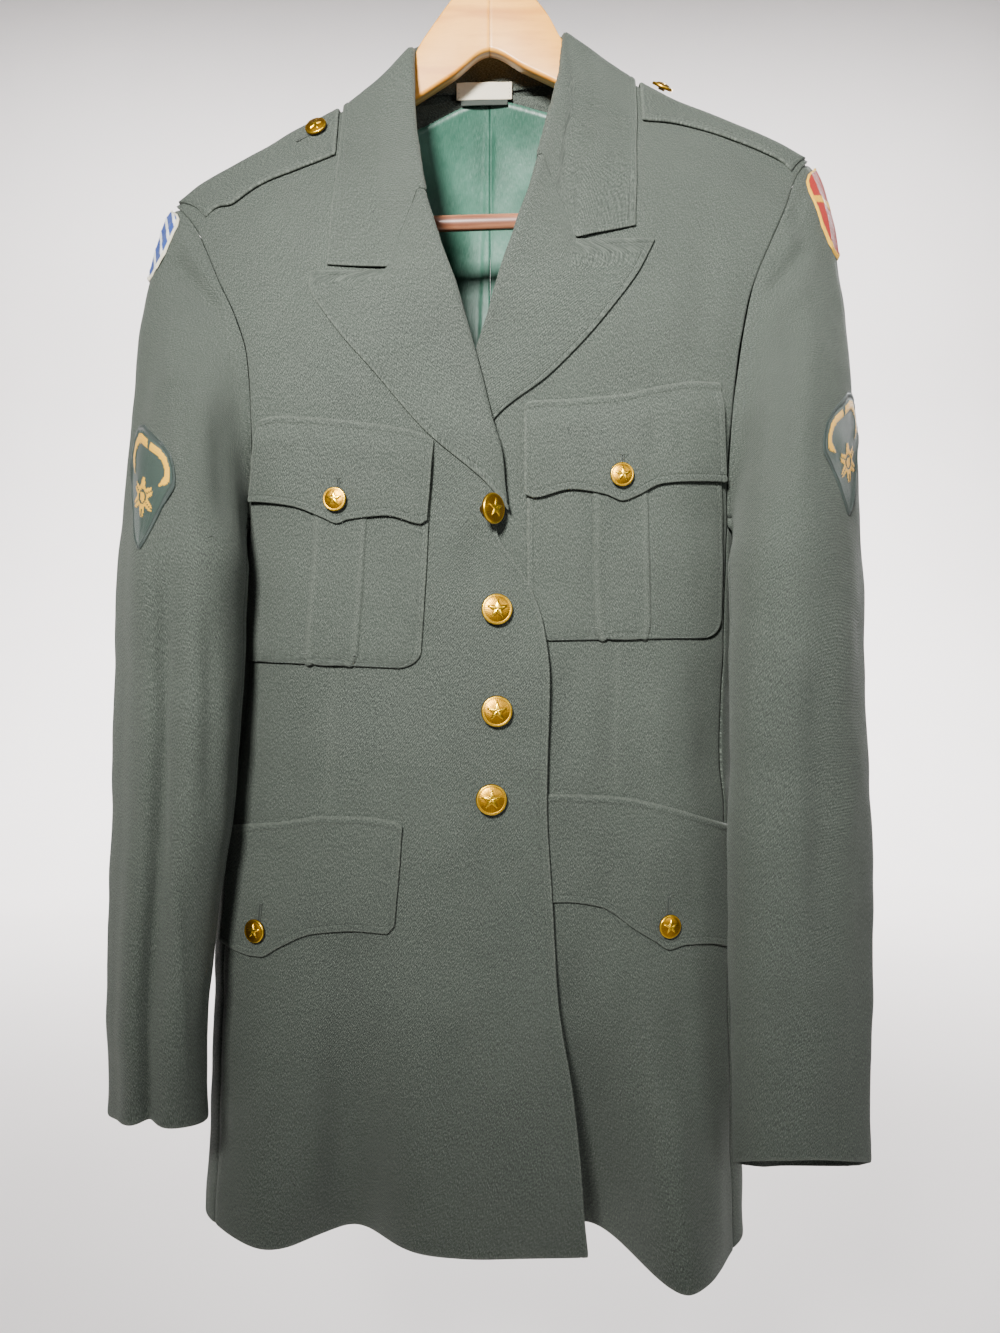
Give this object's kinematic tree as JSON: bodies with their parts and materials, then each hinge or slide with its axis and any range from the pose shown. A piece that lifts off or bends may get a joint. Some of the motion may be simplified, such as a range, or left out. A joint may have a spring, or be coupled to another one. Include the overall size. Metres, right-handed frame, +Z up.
{
  "type": "military coat on a wooden hanger",
  "caption": "Grey-green wool service coat with peaked lapels, shoulder straps, flap pockets and gilt buttons, hanging on a wooden hanger.",
  "frame": {"origin": "where the hanger's hook bears on the rail, at the top of the hook's inner bend", "axes": "+Z up, +X to the viewer's right as the coat's front is seen, the coat's front towards -Y; the hanger lies in the plane Y = 0"},
  "size_m": [0.522, 0.2186, 0.9694],
  "materials": {
    "wool": "napped twill",
    "satin": "satin",
    "gold": "gilt, stamped relief",
    "wood": "varnished",
    "bar": "varnished",
    "steel": "plated",
    "label": "woven",
    "dark": "woven",
    "rank": "embroidered",
    "badge_blue": "embroidered",
    "badge_red": "embroidered"
  },
  "bodies": {
    "root": {"front_left": "wool", "front_right": "wool", "back_left": "wool", "back_right": "wool", "side_left": "wool", "side_right": "wool", "top_sleeve_left": "wool", "top_sleeve_right": "wool", "under_sleeve_left": "wool", "under_sleeve_right": "wool", "collar": "wool", "lapel_left": "wool", "lapel_right": "wool", "epaulette_left": "wool", "epaulette_right": "wool", "chest_pocket_left": "wool", "chest_pocket_right": "wool", "chest_flap_left": "wool", "chest_flap_right": "wool", "lower_flap_left": "wool", "lower_flap_right": "wool", "lining_left": "satin", "lining_right": "satin", "button_front_1": "gold", "button_front_2": "gold", "button_front_3": "gold", "button_front_4": "gold", "button_chest_left": "gold", "button_chest_right": "gold", "button_lower_left": "gold", "button_lower_right": "gold", "button_shoulder_left": "gold", "button_shoulder_right": "gold", "shoulder_badge_left": "badge_blue", "shoulder_badge_right": "badge_red", "rank_badge_left": "rank", "rank_badge_right": "rank", "label": "label", "hanging_tab": "dark", "hanger_arm_left": "wood", "hanger_arm_right": "wood", "bar": "bar", "hook": "steel"}
  },
  "joints": []
}
